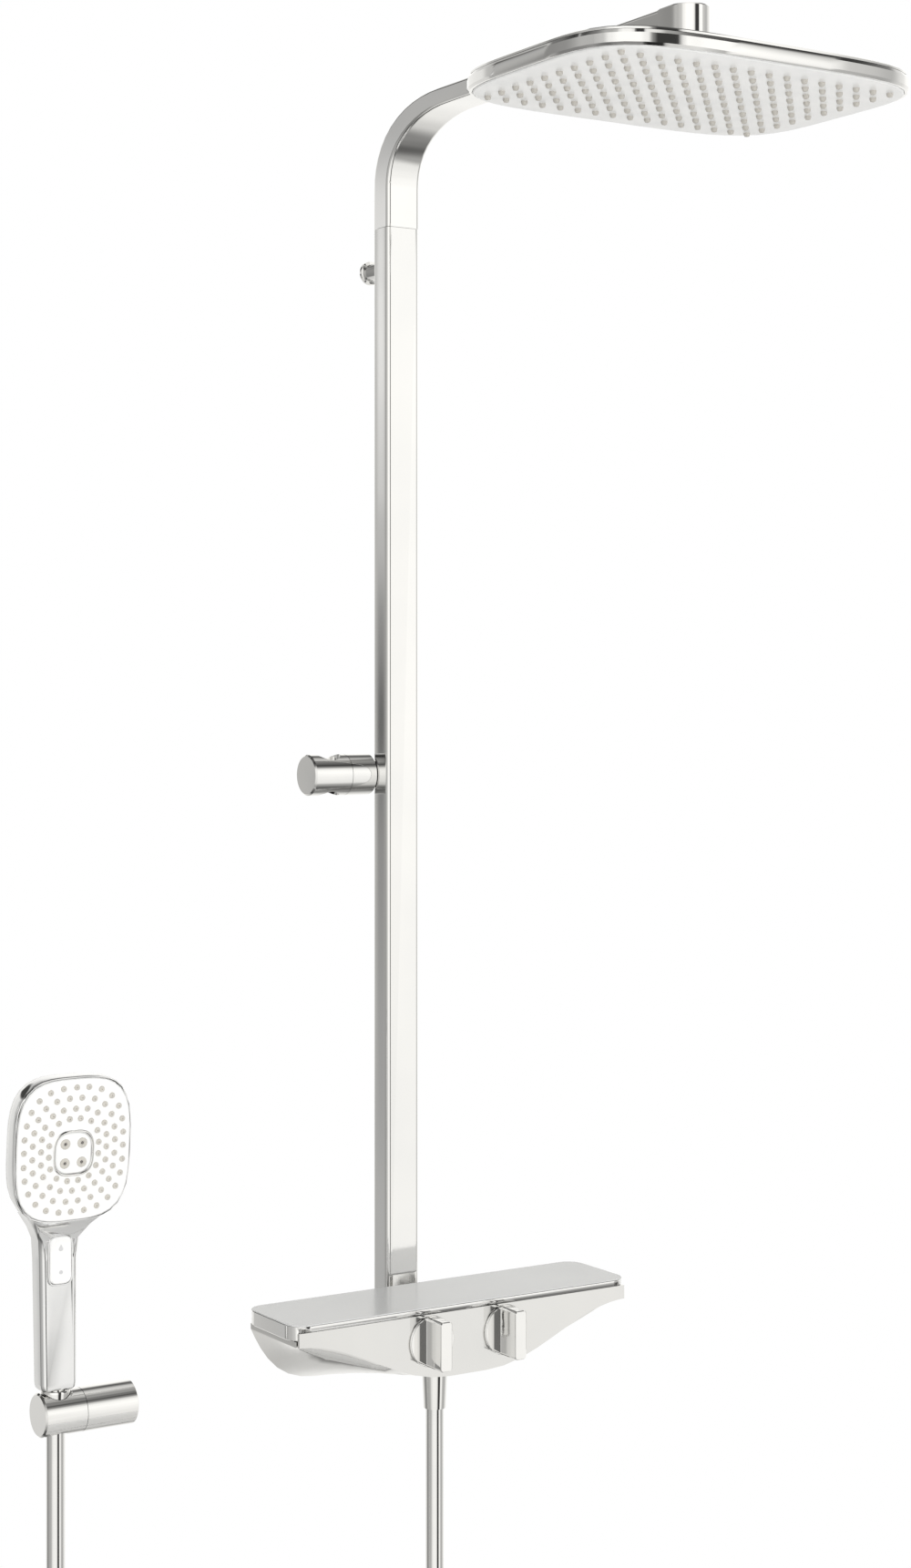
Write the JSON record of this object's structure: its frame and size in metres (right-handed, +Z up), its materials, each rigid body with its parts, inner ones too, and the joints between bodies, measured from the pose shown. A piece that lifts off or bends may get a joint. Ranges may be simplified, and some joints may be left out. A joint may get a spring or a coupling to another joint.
{
  "type": "rainfall shower column",
  "caption": "Wall-mounted shower column: flat riser and arm with a wide overhead shower, sliding holder, shelf mixer with two paddle knobs, hand shower and hose",
  "frame": {"origin": "centre of the wall face of the column's upper wall bracket; the wall is the plane Y = 0", "axes": "+X to the right along the wall as the user sees it, +Y into the wall, +Z up"},
  "size_m": [0.5545, 0.6, 1.6909],
  "materials": {
    "chrome": "polished chrome plate",
    "aluminium": "bright chrome-plated extrusion",
    "brass": "machined",
    "steel": "brushed",
    "white_plastic": "satin white",
    "plated_plastic": "bright chrome-plated plastic",
    "dark_plastic": "moulded",
    "silicone": "soft matt nozzles",
    "rubber": "matt",
    "glass": "pale back-coated safety glass",
    "hose": "smooth metallic-look hose"
  },
  "bodies": {
    "column": {"riser_column": "aluminium", "inner_water_pipe": "brass", "column_key_left": "steel", "column_key_right": "steel", "bend_and_arm": "chrome", "ball_seat_ring": "dark_plastic", "ball_nut": "chrome", "upper_wall_bracket": "chrome", "bracket_screw": "steel", "bracket_fixed_barrel": "chrome", "bracket_wall_post": "chrome", "bracket_wall_screw": "steel", "mixer_shell": "chrome", "mixer_front_plate": "chrome", "shelf_rim": "chrome", "shelf_glass": "glass", "valve_block": "brass", "diverter_cartridge": "brass", "thermostat_cartridge": "brass", "inlet_pipe_left": "chrome", "inlet_pipe_right": "chrome", "inlet_filter_left": "steel", "inlet_filter_right": "steel", "union_nut_left": "chrome", "union_nut_right": "chrome", "wall_rosette_left": "chrome", "wall_rosette_right": "chrome", "column_foot": "chrome", "outlet_nipple": "brass", "hose_washer": "rubber", "hose_nut_lower": "chrome", "shower_hose": "hose"},
    "slider": {"slider_carriage": "chrome", "slider_shoe": "dark_plastic"},
    "slider_holder": {"slider_holder": "chrome"},
    "ball_centre": {"head_flow_regulator": "dark_plastic"},
    "overhead": {"head_cover": "chrome", "head_rim": "chrome", "head_spray_plate": "white_plastic", "head_nozzle_mat": "silicone", "head_water_chamber": "dark_plastic", "head_ball_stem": "chrome"},
    "bracket_holder": {"bracket_holder": "chrome"},
    "hand_shower": {"handset_shell": "plated_plastic", "handset_face": "white_plastic", "handset_insert": "white_plastic", "handset_nozzle_mat": "silicone", "handset_water_plate": "dark_plastic", "hose_nut_upper": "chrome"},
    "select_button": {"select_button": "white_plastic"},
    "thermostat": {"thermostat_knob": "chrome", "thermostat_spindle": "steel"},
    "diverter": {"diverter_knob": "chrome", "diverter_spindle": "steel"}
  },
  "joints": [
    {"name": "slider_travel", "type": "slide", "parent": "column", "child": "slider", "axis": [0, 0, 1], "range_m": [-0.42, 0.42]},
    {"name": "slider_holder_tilt", "type": "hinge", "parent": "slider", "child": "slider_holder", "pos_m": [-0.0434, -0.025, -0.4636], "axis": [1, 0, 0], "range_deg": [-60, 60]},
    {"name": "head_tilt_front", "type": "hinge", "parent": "column", "child": "ball_centre", "pos_m": [0, -0.482, 0.112], "axis": [1, 0, 0], "range_deg": [-10, 10]},
    {"name": "head_tilt_side", "type": "hinge", "parent": "ball_centre", "child": "overhead", "pos_m": [0, -0.482, 0.112], "axis": [0, 1, 0], "range_deg": [-10, 10]},
    {"name": "bracket_tilt", "type": "hinge", "parent": "column", "child": "bracket_holder", "pos_m": [-0.30506, -0.025, -1.0035], "axis": [1, 0, 0], "range_deg": [-25, 25], "deforming": ["shower_hose"]},
    {"name": "hand_shower_lift", "type": "slide", "parent": "bracket_holder", "child": "hand_shower", "axis": [0, 0, 1], "range_m": [0, 0.08], "deforming": ["shower_hose"]},
    {"name": "select_rocker", "type": "hinge", "parent": "hand_shower", "child": "select_button", "pos_m": [-0.327, -0.0346, -0.8708], "axis": [1, 0, 0], "range_deg": [-2.5, 2.5], "stiffness_Nm_per_rad": 0.3},
    {"name": "thermostat_turn", "type": "hinge", "parent": "column", "child": "thermostat", "pos_m": [0.0385, -0.168, -0.951], "axis": [0, 1, 0], "range_deg": [-120, 90]},
    {"name": "diverter_turn", "type": "hinge", "parent": "column", "child": "diverter", "pos_m": [-0.0385, -0.168, -0.951], "axis": [0, 1, 0], "range_deg": [-90, 90]}
  ]
}
